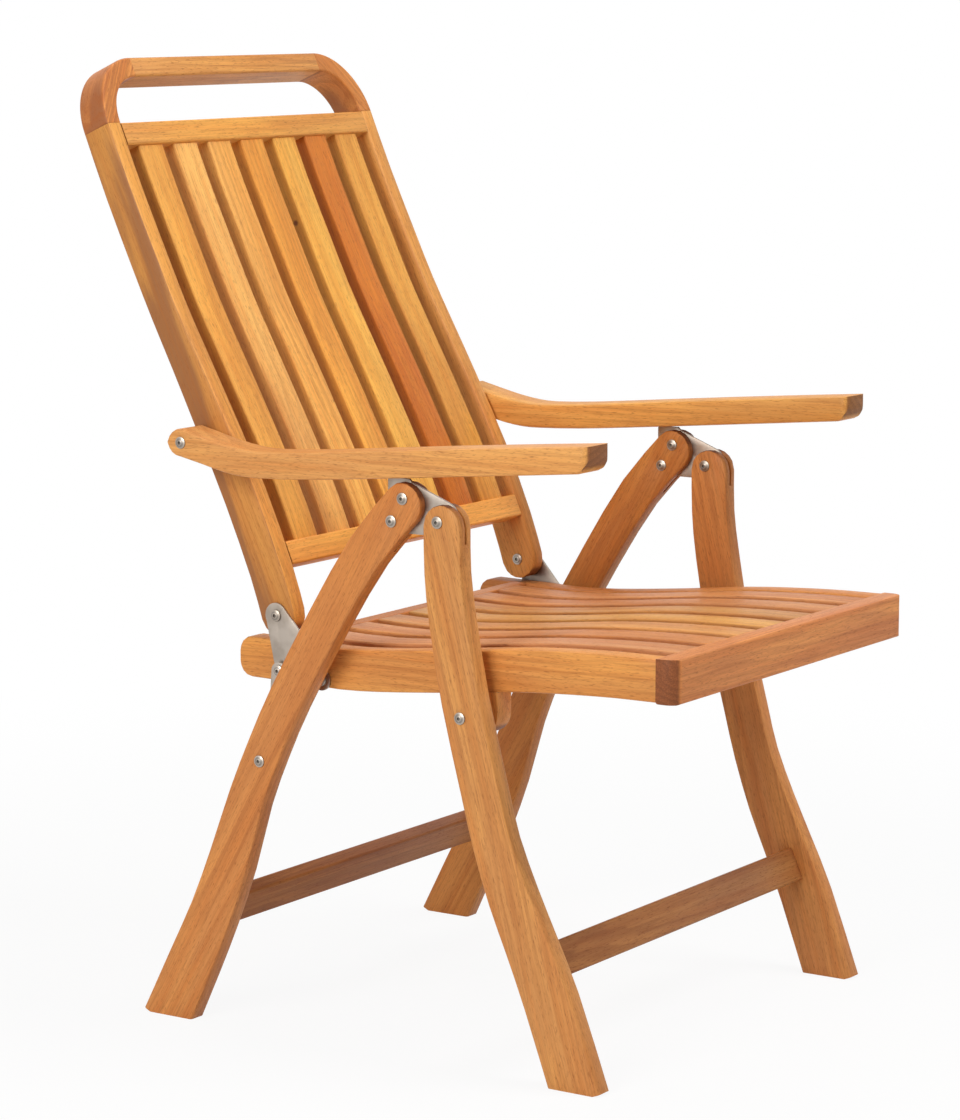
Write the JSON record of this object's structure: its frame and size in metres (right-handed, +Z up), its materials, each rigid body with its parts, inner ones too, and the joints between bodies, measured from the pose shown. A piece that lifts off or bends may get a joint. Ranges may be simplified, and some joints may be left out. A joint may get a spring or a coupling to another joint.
{
  "type": "folding garden chair",
  "caption": "High-backed folding garden chair in oiled hardwood, with a slatted seat, a slatted back that reclines, notched armrests and steel links.",
  "frame": {"origin": "on the floor, under the middle of the whole chair's width and length", "axes": "+Z up, -Y the way the sitter faces, +X to the sitter's left"},
  "size_m": [0.6316, 0.8288, 1.1044],
  "materials": {
    "wood": "oiled",
    "dark_wood": "oiled",
    "steel": "satin",
    "nylon": "matte"
  },
  "bodies": {
    "rear_frame": {"rear_leg_left": "wood", "rear_leg_right": "wood", "rear_stretcher": "dark_wood", "leg_plate_left": "steel", "leg_plate_right": "steel", "plate_bolts": "steel", "link_bolts": "steel"},
    "front_frame": {"front_leg_left": "wood", "front_leg_right": "wood", "front_stretcher": "dark_wood", "seat_pivot_bolts": "steel", "seat_pivot_spacers": "steel"},
    "seat": {"seat_rail_left": "wood", "seat_rail_right": "wood", "seat_front_rail": "wood", "seat_rear_rail": "wood", "seat_batten": "dark_wood", "seat_slat_1": "wood", "seat_slat_2": "wood", "seat_slat_3": "wood", "seat_slat_4": "wood", "seat_slat_5": "wood", "seat_slat_6": "wood", "seat_slat_7": "wood", "hinge_block_left": "wood", "hinge_block_right": "wood", "seat_bracket_left": "steel", "seat_bracket_right": "steel", "bracket_bolts": "steel"},
    "links": {"link_left": "steel", "link_right": "steel", "link_studs": "steel"},
    "back_pivots": {"backrest_bolts": "steel"},
    "backrest": {"backrest_stile_left": "wood", "backrest_stile_right": "wood", "handle_bar": "wood", "handle_corner_left": "dark_wood", "handle_corner_right": "dark_wood", "backrest_upper_rail": "wood", "backrest_lower_rail": "wood", "backrest_slat_1": "wood", "backrest_slat_2": "wood", "backrest_slat_3": "wood", "backrest_slat_4": "wood", "backrest_slat_5": "wood", "backrest_slat_6": "wood", "backrest_slat_7": "wood"},
    "armrest_pivots": {"armrest_bolts": "steel"},
    "armrest_bushing": {"armrest_bushes": "nylon"},
    "left_armrest": {"armrest_left": "wood", "armrest_rack_left": "steel"},
    "right_armrest": {"armrest_right": "wood", "armrest_rack_right": "steel"}
  },
  "joints": [
    {"name": "fold", "type": "hinge", "parent": "rear_frame", "child": "front_frame", "pos_m": [0, -0.13442, 0.6115], "axis": [1, 0, 0], "range_deg": [0, 42.5]},
    {"name": "seat_fold", "type": "hinge", "parent": "front_frame", "child": "seat", "pos_m": [0, -0.16392, 0.398], "axis": [1, 0, 0], "range_deg": [-86, 0]},
    {"name": "link_swing", "type": "hinge", "parent": "seat", "child": "links", "pos_m": [0, 0.10258, 0.419], "axis": [1, 0, 0], "range_deg": [-82, 0]},
    {"name": "backrest_fold", "type": "hinge", "parent": "seat", "child": "back_pivots", "pos_m": [0, 0.11158, 0.481], "axis": [1, 0, 0], "range_deg": [0, 107]},
    {"name": "recline", "type": "hinge", "parent": "back_pivots", "child": "backrest", "pos_m": [0, 0.11158, 0.481], "axis": [1, 0, 0], "range_deg": [-20, 0]},
    {"name": "armrest_fold", "type": "hinge", "parent": "backrest", "child": "armrest_pivots", "pos_m": [0, 0.20758, 0.677], "axis": [1, 0, 0], "range_deg": [-123.5, 0]},
    {"name": "armrest_level", "type": "hinge", "parent": "armrest_pivots", "child": "armrest_bushing", "pos_m": [0, 0.20758, 0.677], "axis": [1, 0, 0], "range_deg": [0, 12.5]},
    {"name": "armrest_lift_left", "type": "hinge", "parent": "armrest_bushing", "child": "left_armrest", "pos_m": [0, 0.20758, 0.677], "axis": [-1, 0, 0], "range_deg": [-0.7, 12]},
    {"name": "armrest_lift_right", "type": "hinge", "parent": "armrest_bushing", "child": "right_armrest", "pos_m": [0, 0.20758, 0.677], "axis": [-1, 0, 0], "range_deg": [-0.7, 12]}
  ],
  "couplings": [
    {"joint": "seat_fold", "follows": "fold", "ratio": -2.016},
    {"joint": "link_swing", "follows": "fold", "ratio": -1.9234},
    {"joint": "backrest_fold", "follows": "fold", "ratio": 2.506},
    {"joint": "armrest_fold", "follows": "fold", "ratio": -2.9},
    {"joint": "armrest_level", "follows": "recline", "ratio": -0.62}
  ]
}
